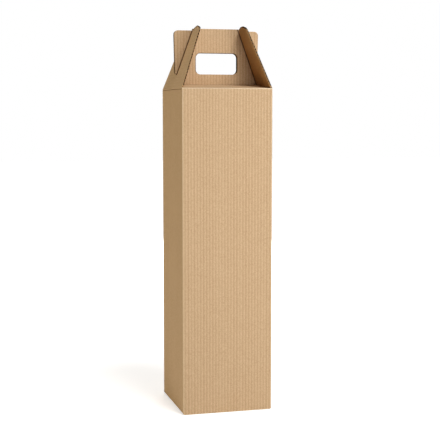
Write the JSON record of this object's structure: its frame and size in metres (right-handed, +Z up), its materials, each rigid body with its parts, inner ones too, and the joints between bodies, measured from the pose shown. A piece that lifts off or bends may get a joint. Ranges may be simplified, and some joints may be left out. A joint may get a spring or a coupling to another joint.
{
  "type": "bottle shipping box",
  "caption": "Tall square corrugated card carrier for a bottle: roofed lid, upright handle board with a hand hole, and gable flaps slotted over the handle's ears.",
  "frame": {"origin": "centre of the base, on the floor", "axes": "+Z up, -Y towards the front wall, +X to the right seen from the front; the gable flaps hinge on the walls at -X and +X"},
  "size_m": [0.098, 0.098, 0.4113],
  "materials": {
    "kraft_board": "natural kraft-brown E-flute corrugated board, matt, faint upright flute lines"
  },
  "bodies": {
    "carton": {"carton": "kraft_board"},
    "left_flap": {"left_gable_flap": "kraft_board"},
    "right_flap": {"right_gable_flap": "kraft_board"}
  },
  "joints": [
    {"name": "left_flap_fold", "type": "hinge", "parent": "carton", "child": "left_flap", "pos_m": [-0.0482, 0, 0.345], "axis": [0, -1, 0], "range_deg": [0, 110]},
    {"name": "right_flap_fold", "type": "hinge", "parent": "carton", "child": "right_flap", "pos_m": [0.0482, 0, 0.345], "axis": [0, 1, 0], "range_deg": [0, 110]}
  ]
}
